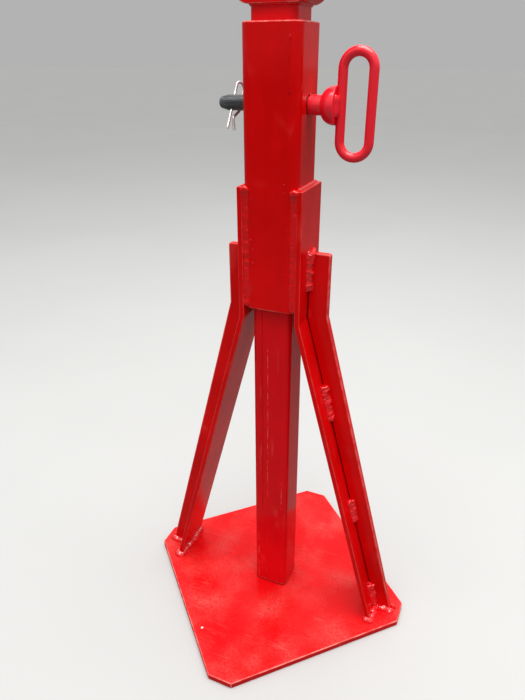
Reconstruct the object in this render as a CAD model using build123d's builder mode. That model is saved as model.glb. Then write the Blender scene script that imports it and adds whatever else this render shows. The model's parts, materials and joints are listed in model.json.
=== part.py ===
from build123d import *
from math import cos, radians, sin, tan
import os

# Axle jack stand: a square sleeve tube carried by two T-section legs on a square
# base plate, with an inner square ram, a pin with a loop handle through both tubes,
# and a hairpin clip in the pin's end.
# Millimetres. Origin on the floor under the tubes' axis, +Z up, X along the pin
# (handle at +X), legs at -X and +X, plate corners on the X and Y axes.

# base plate
plate_side = 305.0
plate_t = 9.0
plate_clip = 24.0

# outer square tube
sleeve_side = 65.0
sleeve_wall = 6.0
sleeve_corner_r = 11.0
sleeve_bottom = 474.0
sleeve_top = 776.0

# inner square tube
ram_side = 50.0
ram_wall = 5.0
ram_corner_r = 8.0
ram_bottom = plate_t + 1.5
ram_top = 790.5
hole_pitch = 50.8
hole_count = 5

# locking pin and its handle
pin_z = 700.0
pin_d = 16.0
pin_hole_d = 18.0
pin_taper_x = -61.0
pin_tip_x = -71.0
pin_tip_d = 11.0
pin_tip_r = 3.5
neck_d = 20.0
neck_start_x = sleeve_side / 2 + 0.5
dome_d = 38.0
dome_start_x = 45.0
dome_end_x = 62.5
loop_rod_d = 10.0
loop_width = 41.4
loop_height = 110.0
loop_inner_x = 61.6
hole_slack = 0.7  # the ram hangs on the pin and the pin on the sleeve, by this much

# hairpin clip
clip_x = -56.0
clip_wire_d = 3.0
clip_hole_d = 4.0
clip_tilt = 32.0
clip_swing = 25.0
clip_leg_end = -29.0
clip_top = 25.0
clip_gap = 9.6

# legs: flat strap and upright rib
strap_width = sleeve_side
strap_t = 6.4
strap_top = 617.0
bend_z = 460.0
bend_r = 20.0
leg_angle = 15.2
rib_t = 8.0
rib_top = 543.0
rib_outer_x = 65.0
rib_bend_z = 464.6
rib_foot_x = 185.9

# saddle
saddle_width = 56.0
saddle_t = 9.0
saddle_flat = 24.0
saddle_bend_r = 7.0
saddle_angle = 55.0
saddle_arm = 34.0

# welds
corner_bead_r = 5.6
corner_bead_in_x = 1.3
corner_bead_in_y = 5.0
rib_bead_r = 6.2
rib_stitches = ((518.0, 50.0), (346.0, 52.0), (181.0, 38.0), (34.0, 40.0))  # middle, length
foot_fillet = 6.0
saddle_fillet = 2.0
loop_bead_r = 3.0
loop_bead_length = 30.0

half = sleeve_side / 2
foot_x = half + (bend_z - plate_t) * tan(radians(leg_angle))
os.makedirs("parts", exist_ok=True)


def save(builder, name):
    builder.part.label = name
    export_step(builder.part, f"parts/{name}.step")


def crease(height, side):
    """Point on the strap's outer face, at mid-depth, at this height."""
    x = half + strap_t
    if height < bend_z:
        x = half + strap_t / cos(radians(leg_angle))
        x += (bend_z - height) * tan(radians(leg_angle))
    return side * x, height


# base plate: corners on the axes, each one clipped
with BuildPart() as base_plate:
    with BuildSketch(Plane.XY) as outline:
        Rectangle(plate_side, plate_side, rotation=45)
        chamfer(outline.vertices(), plate_clip)
    extrude(amount=plate_t)
    fillet(base_plate.edges().group_by(Axis.Z)[-1], 1.2)
save(base_plate, "base_plate")

# sleeve tube with one pair of pin holes
with BuildPart() as sleeve_tube:
    with BuildSketch(Plane.XY.offset(sleeve_bottom)):
        inside = sleeve_side - 2 * sleeve_wall
        RectangleRounded(sleeve_side, sleeve_side, sleeve_corner_r)
        RectangleRounded(inside, inside, sleeve_corner_r - sleeve_wall, mode=Mode.SUBTRACT)
    extrude(amount=sleeve_top - sleeve_bottom)
    with Locations(Plane((0, 0, pin_z + hole_slack), z_dir=(1, 0, 0))):
        Cylinder(pin_hole_d / 2, 2 * sleeve_side, mode=Mode.SUBTRACT)
save(sleeve_tube, "sleeve_tube")

# ram tube with a row of adjusting holes
with BuildPart() as ram_tube:
    with BuildSketch(Plane.XY.offset(ram_bottom)):
        inside = ram_side - 2 * ram_wall
        RectangleRounded(ram_side, ram_side, ram_corner_r)
        RectangleRounded(inside, inside, ram_corner_r - ram_wall, mode=Mode.SUBTRACT)
    extrude(amount=ram_top - ram_bottom)
    chamfer(ram_tube.edges().group_by(Axis.Z)[0], 1.0)
    for n in range(hole_count):
        hole_z = pin_z - hole_slack - n * hole_pitch
        with Locations(Plane((0, 0, hole_z), z_dir=(1, 0, 0))):
            Cylinder(pin_hole_d / 2, 2 * ram_side, mode=Mode.SUBTRACT)
save(ram_tube, "ram_tube")

# saddle: one bent strip, flat in the middle with two flared arms
with BuildPart() as saddle_cradle:
    with BuildSketch(Plane.XZ) as saddle_profile:
        with BuildLine():
            outer_r = saddle_bend_r + saddle_t
            under = Line((0, ram_top), (saddle_flat, ram_top))
            outer = CenterArc((saddle_flat, ram_top + outer_r), outer_r, -90, saddle_angle)
            arm_out = PolarLine(outer @ 1, saddle_arm, saddle_angle)
            tip = PolarLine(arm_out @ 1, saddle_t, saddle_angle + 90)
            arm_in = PolarLine(tip @ 1, saddle_arm, saddle_angle + 180)
            inner = CenterArc(
                (saddle_flat, ram_top + outer_r), saddle_bend_r, saddle_angle - 90, -saddle_angle
            )
            Polyline(inner @ 1, (0, ram_top + saddle_t), (0, ram_top))
        make_face()
        mirror(about=Plane.YZ)
    extrude(amount=saddle_width / 2, both=True)
    fillet(saddle_cradle.edges().filter_by(Axis.Y).group_by(Axis.Z)[-2:], 3.0)
save(saddle_cradle, "saddle_cradle")

# bead round the ram's top, under the saddle
with BuildPart() as saddle_weld:
    with BuildSketch(Plane.XY.offset(ram_top)):
        grown = ram_side + 2 * saddle_fillet
        RectangleRounded(grown, grown, ram_corner_r + saddle_fillet)
    extrude(amount=-saddle_fillet, taper=44)
    with BuildSketch(Plane.XY.offset(ram_top)):
        RectangleRounded(ram_side, ram_side, ram_corner_r)
    extrude(amount=-2 * saddle_fillet, mode=Mode.SUBTRACT)
    add(saddle_cradle.part, mode=Mode.SUBTRACT)
save(saddle_weld, "weld_saddle")

straps, ribs = {}, {}
for side, hand in ((-1, "left"), (1, "right")):
    # strap: lies on the sleeve's side face, bends outward and runs to the plate
    with BuildPart() as strap:
        with BuildSketch(Plane.XZ) as strap_profile:
            with BuildLine():
                shift = strap_t / cos(radians(leg_angle))
                rise = strap_t * tan(radians(leg_angle / 2))
                Polyline(
                    (side * half, strap_top),
                    (side * half, bend_z),
                    (side * foot_x, plate_t),
                    (side * (foot_x + shift), plate_t),
                    (side * (half + strap_t), bend_z + rise),
                    (side * (half + strap_t), strap_top),
                    close=True,
                )
            make_face()
            fillet(strap_profile.vertices().sort_by_distance((side * half, bend_z))[0], bend_r)
            outer_bend = (side * (half + strap_t), bend_z + rise)
            fillet(strap_profile.vertices().sort_by_distance(outer_bend)[0], bend_r - strap_t)
        extrude(amount=strap_width / 2, both=True)
    straps[hand] = strap
    save(strap, f"leg_strap_{hand}")

    # rib: stands on the strap's outer face, slightly narrower toward the foot
    with BuildPart() as rib:
        with BuildSketch(Plane.XZ):
            with BuildLine():
                Polyline(
                    (side * (half + strap_t / 2), rib_top),
                    (side * (half + strap_t / 2), bend_z),
                    (side * (foot_x + shift / 2), plate_t),
                    (side * rib_foot_x, plate_t),
                    (side * rib_outer_x, rib_bend_z),
                    (side * rib_outer_x, rib_top),
                    close=True,
                )
            make_face()
        extrude(amount=rib_t / 2, both=True)
        add(strap.part, mode=Mode.SUBTRACT)
        outside = [e for e in rib.edges().filter_by(Axis.Y)
                   if abs(e.center().X) > rib_outer_x - 1 and e.center().Z > plate_t + 1]
        fillet(outside, 3.0)
    ribs[hand] = rib
    save(rib, f"leg_rib_{hand}")

    # beads down the two corners between the strap and the sleeve
    for facing, end in ((-1, "front"), (1, "back")):
        with BuildPart() as bead:
            with BuildSketch(Plane.XY.offset(sleeve_bottom + 1)):
                with Locations((side * (half - corner_bead_in_x), facing * (half - corner_bead_in_y))):
                    Circle(corner_bead_r)
            extrude(amount=strap_top - sleeve_bottom - 1)
            add(sleeve_tube.part, mode=Mode.SUBTRACT)
            add(strap.part, mode=Mode.SUBTRACT)
        save(bead, f"weld_{hand}_{end}")

    # bead across the strap's top end
    with BuildPart() as top_bead:
        with BuildSketch(Plane.XZ):
            with BuildLine():
                Polyline(
                    (side * half, strap_top),
                    (side * (half + strap_t - 1), strap_top),
                    (side * half, strap_top + strap_t),
                    close=True,
                )
            make_face()
        extrude(amount=half - corner_bead_r - 4, both=True)
    save(top_bead, f"weld_top_{hand}")

    # stitch beads down both creases between the rib and the strap
    with BuildPart() as stitches:
        for height, stitch_length in rib_stitches:
            x, z = crease(height, side)
            lean = leg_angle if height < bend_z else 0.0
            along = (side * sin(radians(lean)), 0, -cos(radians(lean)))
            for facing in (-1, 1):
                spot = Plane((x, facing * rib_t / 2, z), x_dir=(0, 1, 0), z_dir=along)
                with Locations(spot):
                    Cylinder(rib_bead_r, stitch_length)
        add(strap.part, mode=Mode.SUBTRACT)
        add(rib.part, mode=Mode.SUBTRACT)
    save(stitches, f"weld_rib_{hand}")

    # fillet round the leg's foot on the plate
    with BuildPart() as foot_weld:
        mid = side * (foot_x + shift / 2)
        rib_mid = side * (foot_x + shift + rib_foot_x) / 2
        rib_len = rib_foot_x - foot_x - shift
        with BuildSketch(Plane.XY.offset(plate_t)):
            with Locations((mid, 0)):
                Rectangle(shift + 2 * foot_fillet, strap_width + 2 * foot_fillet)
            with Locations((rib_mid, 0)):
                Rectangle(rib_len + 2 * foot_fillet, rib_t + 2 * foot_fillet)
        extrude(amount=foot_fillet - 0.6, taper=44)
        add(strap.part, mode=Mode.SUBTRACT)
        add(rib.part, mode=Mode.SUBTRACT)
        add(stitches.part, mode=Mode.SUBTRACT)
    save(foot_weld, f"weld_foot_{hand}")

# clip plane: the straight leg runs along its Y, the bowed leg lies on its +X side
tilt, swing = radians(clip_tilt), radians(clip_swing)
leg_dir = Vector(0, sin(tilt), cos(tilt))
bow_dir = Vector(sin(swing), cos(swing) * cos(tilt), -cos(swing) * sin(tilt))
clip_plane = Plane((clip_x, 0, pin_z), x_dir=bow_dir, z_dir=bow_dir.cross(leg_dir))

# pin: turned shank with a tapered tip and a cross hole for the clip
with BuildPart() as pin_shank:
    with BuildSketch(Plane.XZ):
        with BuildLine():
            Polyline(
                (dome_start_x - 4, pin_z),
                (dome_start_x - 4, pin_z + pin_d / 2),
                (pin_taper_x, pin_z + pin_d / 2),
                (pin_tip_x, pin_z + pin_tip_d / 2),
                (pin_tip_x, pin_z),
                close=True,
            )
        make_face()
    revolve(axis=Axis((0, 0, pin_z), (1, 0, 0)))
    fillet(pin_shank.edges().group_by(Axis.X)[0], pin_tip_r)
    with Locations(Plane((clip_x, 0, pin_z), z_dir=leg_dir)):
        Cylinder(clip_hole_d / 2, 3 * pin_d, mode=Mode.SUBTRACT)
save(pin_shank, "pin_shank")

# head: neck with a shoulder against the sleeve, then a dome that ends in a flat
with BuildPart() as pin_head:
    with BuildSketch(Plane.XZ):
        with BuildLine():
            dome_r = dome_d / 2
            depth = dome_end_x - dome_start_x
            neck = Polyline(
                (dome_end_x, pin_z),
                (neck_start_x, pin_z),
                (neck_start_x, pin_z + neck_d / 2),
                (dome_start_x + 1.5, pin_z + neck_d / 2),
            )
            crown = (dome_start_x + 0.34 * depth, pin_z + 0.84 * dome_r)
            shoulder = (dome_end_x - 3, pin_z + dome_r)
            curve = ThreePointArc(neck @ 1, crown, shoulder)
            Polyline(curve @ 1, (dome_end_x, pin_z + dome_r), (dome_end_x, pin_z))
        make_face()
    revolve(axis=Axis((0, 0, pin_z), (1, 0, 0)))
    fillet(pin_head.edges().group_by(Axis.X)[-1], 1.2)
    fillet(pin_head.edges().group_by(Axis.X)[0], 1.0)
    add(pin_shank.part, mode=Mode.SUBTRACT)
save(pin_head, "pin_head")

# loop handle: a round rod bent to a stadium, welded to the head's flat
with BuildPart() as pin_loop:
    loop_mid = loop_inner_x + loop_width / 2
    reach = (loop_width - loop_rod_d) / 2
    rise = (loop_height - loop_width) / 2
    with BuildLine(Plane.XZ) as loop_path:
        lower, upper = pin_z - rise, pin_z + rise
        Line((loop_mid + reach, pin_z), (loop_mid + reach, upper))
        CenterArc((loop_mid, upper), reach, 0, 180)
        Line((loop_mid - reach, upper), (loop_mid - reach, lower))
        CenterArc((loop_mid, lower), reach, 180, 180)
        Line((loop_mid + reach, lower), (loop_mid + reach, pin_z))
    with BuildSketch(Plane((loop_mid + reach, 0, pin_z), z_dir=(0, 0, 1))):
        Circle(loop_rod_d / 2)
    sweep(path=loop_path.wires()[0])
    add(pin_head.part, mode=Mode.SUBTRACT)
save(pin_loop, "pin_loop")

# beads down both sides of the loop's rod, against the head's flat
with BuildPart() as loop_weld:
    for facing in (-1, 1):
        spot = (dome_end_x + 1.2, facing * (loop_rod_d / 2 - 0.9), pin_z)
        with Locations(spot):
            Cylinder(loop_bead_r, loop_bead_length)
    add(pin_head.part, mode=Mode.SUBTRACT)
    add(pin_loop.part, mode=Mode.SUBTRACT)
save(loop_weld, "weld_loop")

# hairpin clip: straight leg in the cross hole, bowed leg round the pin, tips flared
with BuildPart() as hairpin_clip:
    with BuildLine(clip_plane) as clip_path:
        FilletPolyline(
            (0, clip_leg_end),
            (0, clip_top),
            (clip_gap, clip_top),
            (clip_gap + 2, -3),
            (clip_gap - 5.4, -15.5),
            (clip_gap + 0.2, clip_leg_end + 2),
            radius=[clip_gap / 2 - 0.1, clip_gap / 2 - 0.1, 10, 5],
        )
        clip_wire = clip_path.wires()[0]
    with BuildSketch(Plane(clip_wire @ 0, z_dir=clip_wire % 0)):
        Circle(clip_wire_d / 2)
    sweep(path=clip_wire)
save(hairpin_clip, "hairpin_clip")
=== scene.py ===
"""Axle jack stand: painted steel, welds, locking pin and hairpin clip on a plain studio floor."""

import json
from math import cos, pi, radians, sin, tan

import bmesh
import bpy
from bpy.props import FloatProperty, FloatVectorProperty, IntProperty, PointerProperty
from mathutils import Matrix, Vector

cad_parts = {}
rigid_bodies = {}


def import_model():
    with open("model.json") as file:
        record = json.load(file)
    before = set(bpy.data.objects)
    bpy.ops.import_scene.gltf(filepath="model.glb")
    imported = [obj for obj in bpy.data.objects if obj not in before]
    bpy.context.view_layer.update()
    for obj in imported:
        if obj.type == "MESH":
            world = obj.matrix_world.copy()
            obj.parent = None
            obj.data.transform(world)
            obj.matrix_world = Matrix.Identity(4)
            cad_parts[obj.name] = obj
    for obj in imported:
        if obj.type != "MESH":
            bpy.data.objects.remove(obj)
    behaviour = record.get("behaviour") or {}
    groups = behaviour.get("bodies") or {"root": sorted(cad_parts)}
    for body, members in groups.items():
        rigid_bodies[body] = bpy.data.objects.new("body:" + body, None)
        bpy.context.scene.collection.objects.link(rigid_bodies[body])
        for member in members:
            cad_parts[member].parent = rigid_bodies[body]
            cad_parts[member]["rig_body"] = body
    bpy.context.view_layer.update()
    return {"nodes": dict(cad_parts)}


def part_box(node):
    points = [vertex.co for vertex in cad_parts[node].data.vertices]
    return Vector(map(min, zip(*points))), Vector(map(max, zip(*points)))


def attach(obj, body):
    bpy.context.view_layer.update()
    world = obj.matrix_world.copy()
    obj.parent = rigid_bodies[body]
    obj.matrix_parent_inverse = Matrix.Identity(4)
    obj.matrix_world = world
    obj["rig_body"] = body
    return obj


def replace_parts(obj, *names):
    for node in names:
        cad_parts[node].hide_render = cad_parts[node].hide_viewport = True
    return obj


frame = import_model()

bl_info = {
    "name": "Axle jack stand",
    "version": (1, 0, 0),
    "blender": (4, 5, 0),
    "location": "3D View > Sidebar > Jack stand",
    "description": "Builds the visible pieces of a pin-type axle jack stand",
    "category": "Add Mesh",
}

MM = 0.001
WIDEST_RIM = 0.75 * MM  # a rounded edge's faces are narrower than this

# finishes that more than one piece shares
# lift in these finishes is painted light: it lightens the coat toward the fresh colour where beads and
# handle catch the light; on the handle it is also the brighter coat
BEAD = {"gloss": 0.09, "shine": 0.45, "dust": 0.1, "scuffs": 0.0, "edges": 0.0, "lift": 0.08}
BRIGHT_BEAD = {**BEAD, "gloss": 0.07, "shine": 0.8, "lift": 0.15}
WET_BEAD = {**BEAD, "gloss": 0.07, "shine": 0.9, "lift": 0.2}
HANDLE = {"gloss": 0.22, "shine": 0.65, "dust": 0.1, "scuffs": 0.1, "edges": 0.2, "lift": 0.95}
SIDES = (("left", -1), ("right", 1))
FACES = (("front", -1), ("back", 1))

# lines rubbed down the ram: place across, low end, high end
RUB_LINES = ((-4 * MM, 175 * MM, 430 * MM), (17 * MM, 160 * MM, 215 * MM), (-18 * MM, 12 * MM, 110 * MM))

# stitches down a crease: height of the middle, length
STITCHES = ((520 * MM, 50 * MM), (346 * MM, 52 * MM), (181 * MM, 38 * MM), (33 * MM, 42 * MM))


# ---------------------------------------------------------------- settings

def length(name, description, default):
    return FloatProperty(
        name=name, description=description, default=default, min=0.0, precision=5, unit="LENGTH"
    )


def angle(name, description, default):
    return FloatProperty(name=name, description=description, default=radians(default), unit="ROTATION")


def colour(name, description, default):
    return FloatVectorProperty(
        name=name, description=description, default=default, min=0.0, max=1.0, subtype="COLOR"
    )


class SteelSettings(bpy.types.PropertyGroup):
    """Sizes of the plates and tubes that their boxes don't give."""

    edge_round: length("Edge round", "Radius on every cut edge", 0.9 * MM)
    rib_round: length("Rib edge round", "Radius on the ribs' edges", 1.7 * MM)
    tube_round: length("Tube end round", "Radius on the tubes' sawn ends", 1.3 * MM)
    strap_thickness: length("Strap thickness", "Thickness of the leg's flat bar", 6.4 * MM)
    bend_height: length("Bend height", "Height of the strap's bend", 460 * MM)
    leg_angle: angle("Leg angle", "Lean of the leg from the upright", 15.2)


class WeldSettings(bpy.types.PropertyGroup):
    """Bead sizes."""

    corner: length("Corner bead", "Radius of the beads between strap and sleeve", 4.8 * MM)
    stitch: length("Stitch bead", "Radius of the stitches between rib and strap", 6.8 * MM)
    foot: length("Foot bead", "Radius of the bead round each foot", 5.0 * MM)
    top: length("Top bead", "Radius of the bead over each strap's end", 2.5 * MM)
    collar: length("Collar bead", "Radius of the bead under the saddle", 1.6 * MM)
    handle: length("Handle bead", "Radius of the beads between loop and head", 6.5 * MM)
    pitch: length("Ripple pitch", "Distance from one ripple to the next", 3.4 * MM)
    depth: length("Ripple depth", "Height of a ripple", 0.5 * MM)
    wander: length("Wander", "How far the bead strays from its line", 0.5 * MM)
    seed: IntProperty(name="Seed", description="Changes every uneven spot", default=7, min=0)


class PaintSettings(bpy.types.PropertyGroup):
    """Colours and marks of the red enamel."""

    thick: colour("Thick enamel", "Colour where the coat is heavy", (0.64, 0.0004, 0.0008))
    thin: colour("Thin enamel", "Colour where the coat is light", (0.77, 0.0012, 0.0026))
    # painted light: every enamel with lift is lightened toward this colour; on the handle it is also the
    # coat's own brighter red
    fresh: colour("Fresh enamel", "Colour of the brighter coat on the handle", (0.93, 0.012, 0.030))
    # this pale colour is both rubbed enamel on scratches and worn rims, and a painted highlight along the
    # rounded edges
    rubbed: colour("Rubbed enamel", "Colour of enamel that has been dragged on", (0.95, 0.20, 0.17))
    grit: colour("Grit", "Colour of the specks of grit", (0.16, 0.03, 0.02))
    # painted shade: this dark colour is laid on the rounded edges deep in the creases between rib and strap
    shadow: colour("Crease", "Colour of the paint deep in a crease", (0.16, 0.0, 0.0))
    dust: colour("Dust", "Colour of settled dust", (0.62, 0.30, 0.25))
    primer: colour("Primer", "Colour that a chip lays bare", (0.74, 0.72, 0.70))
    peel_size: length("Peel size", "Width of the orange-peel dimples", 2.2 * MM)
    peel_depth: length("Peel depth", "Depth of the orange-peel dimples", 0.010 * MM)
    wave_size: length("Wave size", "Width of the slow waves in the coat", 26 * MM)
    wave_depth: length("Wave depth", "Depth of the slow waves in the coat", 0.055 * MM)


class PinSettings(bpy.types.PropertyGroup):
    """Colours of the pin and the clip."""

    oxide: colour("Black oxide", "Colour of the pin's shank", (0.030, 0.034, 0.037))
    worn: colour("Worn oxide", "Colour where the shank is rubbed", (0.13, 0.145, 0.155))
    zinc: colour("Zinc", "Colour of the plated wire", (0.86, 0.87, 0.88))
    dull_zinc: colour("Dull zinc", "Colour of the wire's dull streaks", (0.55, 0.56, 0.58))


class StageSettings(bpy.types.PropertyGroup):
    """Floor, light and camera."""

    floor_size: length("Floor size", "Width of the floor", 60.0)
    floor: colour("Floor", "Colour of the floor", (0.50, 0.50, 0.49))
    bounce: colour("Bounce", "Share of the light that the floor sends back up", (0.13, 0.13, 0.125))
    overhead: FloatProperty(name="Overhead light", description="Brightness straight up", default=1.2)
    level: FloatProperty(name="Level light", description="Brightness at eye level", default=0.31)
    horizon: FloatProperty(name="Horizon", description="Brightness of the empty background", default=0.45)
    lamp_power: FloatProperty(
        name="Lamp power", description="Power of the soft lamp", default=84.0, unit="POWER"
    )
    lamp_size: length("Lamp size", "Width of the soft lamp", 2.0)
    lamp_place: FloatVectorProperty(
        name="Lamp place", description="Where the lamp hangs", default=(0.22, -0.12, 2.7), unit="LENGTH"
    )
    lens: FloatProperty(name="Lens", description="Focal length in millimetres", default=29.735)
    eye: FloatVectorProperty(
        name="Eye", description="Where the camera stands", default=(0.24568, -0.61729, 0.74917),
        unit="LENGTH", precision=5,
    )
    yaw: angle("Yaw", "Turn of the camera to the left of the back", 23.441)
    pitch: angle("Pitch", "Look of the camera below the level", 27.284)
    roll: angle("Roll", "Tilt of the camera about its own line of sight", -0.209)


class JackStandSettings(bpy.types.PropertyGroup):
    """Everything a user would change."""

    steel: PointerProperty(type=SteelSettings, name="Steel", description="Plates and tubes")
    weld: PointerProperty(type=WeldSettings, name="Weld", description="Weld beads")
    paint: PointerProperty(type=PaintSettings, name="Paint", description="Red enamel")
    pin: PointerProperty(type=PinSettings, name="Pin", description="Pin and clip")
    stage: PointerProperty(type=StageSettings, name="Stage", description="Floor, light and camera")


# ---------------------------------------------------------------- nodes

def place(tree, kind, inputs=None, **settings):
    """Adds a node, sets it up and feeds its inputs with sockets or values."""
    node = tree.nodes.new(kind)
    for key, value in settings.items():
        setattr(node, key, value)
    for key, value in (inputs or {}).items():
        feed(tree, node.inputs[key], value)
    return node


def feed(tree, socket, value):
    if isinstance(value, bpy.types.NodeSocket):
        tree.links.new(value, socket)
    else:
        socket.default_value = value


def output_of(tree, kind, inputs=None, **settings):
    """First output of a node that is placed in the tree."""
    return place(tree, kind, inputs, **settings).outputs[0]


def sums(tree, operation, *terms, clamp=False):
    """Result of one arithmetic node."""
    node = place(tree, "ShaderNodeMath", dict(enumerate(terms)), operation=operation, use_clamp=clamp)
    return node.outputs[0]


def vector_sum(tree, operation, *terms, scale=None):
    node = place(tree, "ShaderNodeVectorMath", dict(enumerate(terms)), operation=operation)
    if scale is not None:
        feed(tree, node.inputs["Scale"], scale)
    return node.outputs["Value" if operation in ("DOT_PRODUCT", "LENGTH") else "Vector"]


def ramp(tree, value, low, high):
    """0 below low and 1 above high, with a soft step between them."""
    node = place(
        tree, "ShaderNodeMapRange", {"Value": value, "From Min": low, "From Max": high},
        interpolation_type="SMOOTHSTEP",
    )
    return node.outputs["Result"]


def stretch(tree, vector, scale, turn=0.0):
    """Places for a pattern that is stretched along the axes and turned about the upright."""
    return output_of(
        tree, "ShaderNodeMapping", {"Vector": vector, "Rotation": (0.0, 0.0, turn), "Scale": scale}
    )


def upward(tree):
    """How far the surface looks up: 1 straight up, 0 level."""
    normal = place(tree, "ShaderNodeNewGeometry").outputs["Normal"]
    return place(tree, "ShaderNodeSeparateXYZ", {0: normal}).outputs["Z"]


def noise(tree, vector, size, seed, detail=2.0, output="Fac"):
    """Soft noise whose features are about this size in metres."""
    scale = sums(tree, "DIVIDE", 1.0, size) if isinstance(size, bpy.types.NodeSocket) else 1.0 / size
    node = place(
        tree, "ShaderNodeTexNoise",
        {"Vector": vector, "W": seed, "Scale": scale, "Detail": detail}, noise_dimensions="4D",
    )
    return node.outputs[output]


def blend(tree, amount, first, second):
    """Mix of two colours."""
    node = place(tree, "ShaderNodeMix", {0: amount, 6: first, 7: second}, data_type="RGBA")
    return node.outputs[2]


def opaque(rgb):
    return (*rgb, 1.0)


def new_group(name, kind, inputs, outputs):
    """Node group with named sockets. Returns the tree, its input sockets and its output node."""
    tree = bpy.data.node_groups.new(name, kind)
    for label, socket_type, default in inputs:
        socket = tree.interface.new_socket(name=label, in_out="INPUT", socket_type=socket_type)
        if default is not None:
            socket.default_value = default
    for label, socket_type in outputs:
        tree.interface.new_socket(name=label, in_out="OUTPUT", socket_type=socket_type)
    given = tree.nodes.new("NodeGroupInput").outputs
    made = tree.nodes.new("NodeGroupOutput")
    return tree, given, made


def made_once(build):
    """Runs a builder the first time only: its node group bears the function's own name."""
    name = build.__name__.replace("_", " ")

    def fetch():
        if name in bpy.data.node_groups:
            return bpy.data.node_groups[name]
        return build(name)

    return fetch


def use_group(tree, group, inputs):
    """Places a shader group in a tree and returns its first output."""
    node = place(tree, "ShaderNodeGroup", node_tree=group)
    for key, value in inputs.items():
        feed(tree, node.inputs[key], value)
    return node.outputs[0]


# ---------------------------------------------------------------- shared surface effects

NUMBER, PLACE, SHAPE = "NodeSocketFloat", "NodeSocketVector", "NodeSocketGeometry"


@made_once
def sprayed_film(name):
    """Orange peel and slow waves of a sprayed coat, as a height in metres."""
    tree, given, made = new_group(
        name, "ShaderNodeTree",
        [("Vector", PLACE, None), ("Peel Size", NUMBER, 0.002), ("Peel Depth", NUMBER, 0.00001),
         ("Wave Size", NUMBER, 0.02), ("Wave Depth", NUMBER, 0.00005)],
        [("Height", NUMBER)],
    )
    peel = noise(tree, given["Vector"], given["Peel Size"], 1.3, detail=1.0)
    wave = noise(tree, given["Vector"], given["Wave Size"], 4.1, detail=1.0)
    height = sums(tree, "MULTIPLY", peel, given["Peel Depth"])
    height = sums(tree, "MULTIPLY_ADD", wave, given["Wave Depth"], height)
    feed(tree, made.inputs["Height"], height)
    return tree


@made_once
def settled_dust(name):
    """Dusty patches, mostly on faces that look up."""
    tree, given, made = new_group(
        name, "ShaderNodeTree",
        [("Vector", PLACE, None), ("Amount", NUMBER, 0.5), ("Patch Size", NUMBER, 0.06)],
        [("Mask", NUMBER)],
    )
    patches = ramp(tree, noise(tree, given["Vector"], given["Patch Size"], 8.7, detail=3.0), 0.36, 0.74)
    wiped = stretch(tree, given["Vector"], (18.0, 25.0, 22.0), turn=1.2)
    wiped = ramp(tree, noise(tree, wiped, 1.0, 2.9, detail=4.0), 0.15, 0.75)
    mask = sums(tree, "MULTIPLY", patches, wiped)
    grain = ramp(tree, noise(tree, given["Vector"], 0.0028, 5.2, detail=3.0), 0.35, 0.70)
    mask = sums(tree, "MULTIPLY", mask, sums(tree, "MULTIPLY_ADD", grain, 0.9, 0.4))
    mask = sums(tree, "MULTIPLY", mask, ramp(tree, upward(tree), -0.1, 0.85))
    feed(tree, made.inputs["Mask"], sums(tree, "MULTIPLY", mask, given["Amount"], clamp=True))
    return tree


@made_once
def drag_marks(name):
    """Thin scratches in three directions, in a few places."""
    tree, given, made = new_group(
        name, "ShaderNodeTree",
        [("Vector", PLACE, None), ("Amount", NUMBER, 0.5), ("Line Width", NUMBER, 0.02)],
        [("Mask", NUMBER)],
    )
    lines = 0.0
    for turn, fine, seed in ((0.45, 95.0, 3.3), (-0.85, 140.0, 11.9), (1.15, 260.0, 7.7)):
        turned = stretch(tree, given["Vector"], (6.0, fine, 6.0), turn)
        level = sums(tree, "SUBTRACT", noise(tree, turned, 1.0, seed, detail=1.0), 0.5)
        away = sums(tree, "DIVIDE", sums(tree, "ABSOLUTE", level), given["Line Width"])
        line = sums(tree, "SUBTRACT", 1.0, away, clamp=True)
        spots = ramp(tree, noise(tree, given["Vector"], 0.05, seed + 5.0, detail=3.0), 0.54, 0.70)
        lines = sums(tree, "MULTIPLY_ADD", line, spots, lines)
    feed(tree, made.inputs["Mask"], sums(tree, "MULTIPLY", lines, given["Amount"], clamp=True))
    return tree


@made_once
def slide_marks(name):
    """Broken upright lines that a sliding tube rubs."""
    tree, given, made = new_group(
        name, "ShaderNodeTree", [("Vector", PLACE, None), ("Amount", NUMBER, 0.5)], [("Mask", NUMBER)]
    )
    upright = stretch(tree, given["Vector"], (150.0, 150.0, 1.5))
    level = sums(tree, "SUBTRACT", noise(tree, upright, 1.0, 14.2, detail=1.0), 0.5)
    line = sums(tree, "SUBTRACT", 1.0, sums(tree, "DIVIDE", sums(tree, "ABSOLUTE", level), 0.02), clamp=True)
    broken = stretch(tree, given["Vector"], (60.0, 60.0, 22.0))
    broken = ramp(tree, noise(tree, broken, 1.0, 0.4, detail=3.0), 0.52, 0.66)
    mask = sums(tree, "MULTIPLY", sums(tree, "MULTIPLY", line, broken), 0.35)

    # the few long lines, each a hair wide and broken along its length
    hair_width, fade = 0.75 * MM, 12 * MM
    spot = place(tree, "ShaderNodeSeparateXYZ", {0: given["Vector"]})
    gaps = stretch(tree, given["Vector"], (40.0, 40.0, 110.0))
    gaps = ramp(tree, noise(tree, gaps, 1.0, 5.1, detail=3.0), 0.42, 0.60)
    for across, low, high in RUB_LINES:
        aside = sums(tree, "ABSOLUTE", sums(tree, "SUBTRACT", spot.outputs["X"], across))
        hair = sums(tree, "SUBTRACT", 1.0, sums(tree, "DIVIDE", aside, hair_width), clamp=True)
        above = ramp(tree, spot.outputs["Z"], low, low + fade)
        below = sums(tree, "SUBTRACT", 1.0, ramp(tree, spot.outputs["Z"], high - fade, high))
        hair = sums(tree, "MULTIPLY", hair, gaps)
        hair = sums(tree, "MULTIPLY", hair, sums(tree, "MULTIPLY", above, below))
        mask = sums(tree, "MAXIMUM", mask, hair)
    feed(tree, made.inputs["Mask"], sums(tree, "MULTIPLY", mask, given["Amount"], clamp=True))
    return tree


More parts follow.
